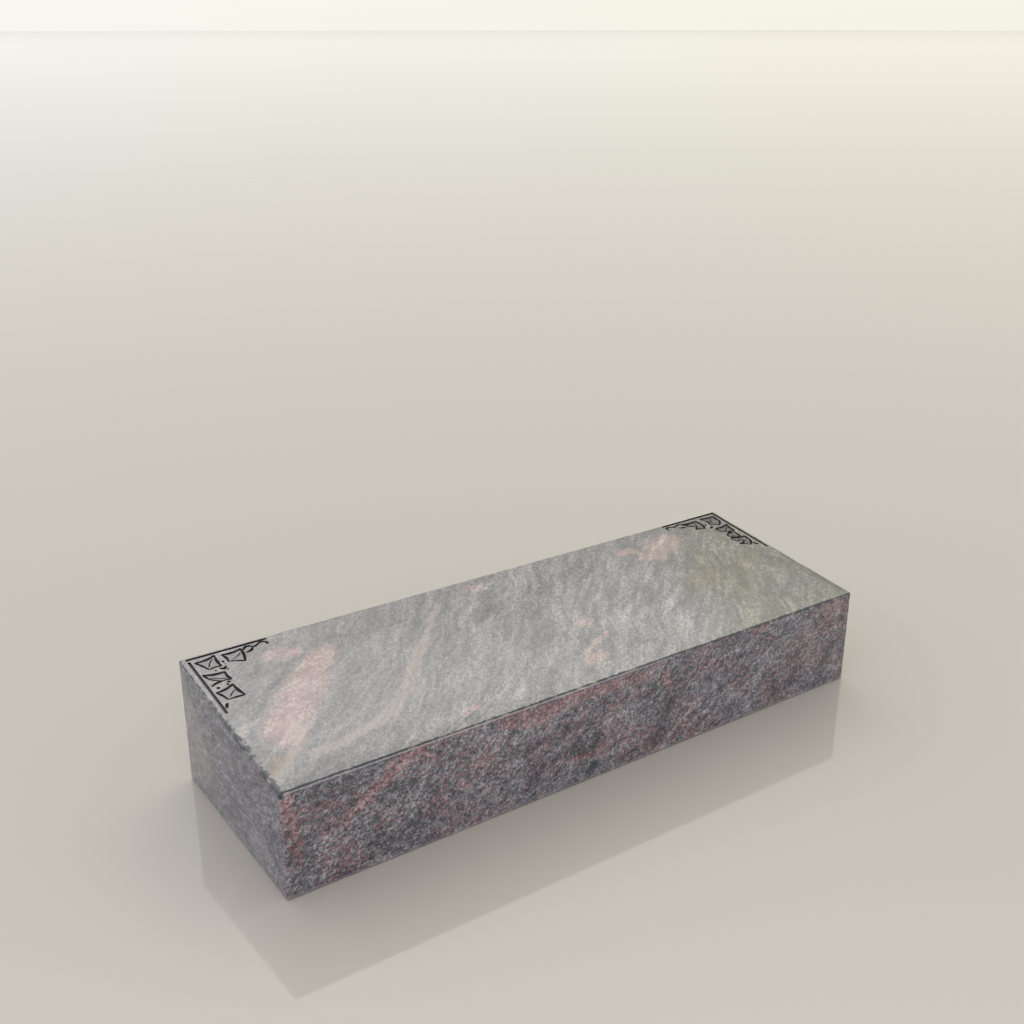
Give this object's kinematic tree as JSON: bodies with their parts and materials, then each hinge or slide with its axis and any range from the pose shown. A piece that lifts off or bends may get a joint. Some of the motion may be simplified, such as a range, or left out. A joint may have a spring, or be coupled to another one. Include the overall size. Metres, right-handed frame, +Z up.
{
  "type": "bevel grave marker",
  "caption": "Long granite bevel grave marker with a polished top that slopes to the front, softened edges and a leaf scroll carved in each back corner.",
  "frame": {"origin": "middle of the underside, where the block rests", "axes": "+X along the marker's length, +Z up, and the lower front face looks towards -Y"},
  "size_m": [0.914, 0.2986, 0.1747],
  "materials": {
    "granite": "polished"
  },
  "bodies": {
    "root": {"granite_block": "granite"}
  },
  "joints": []
}
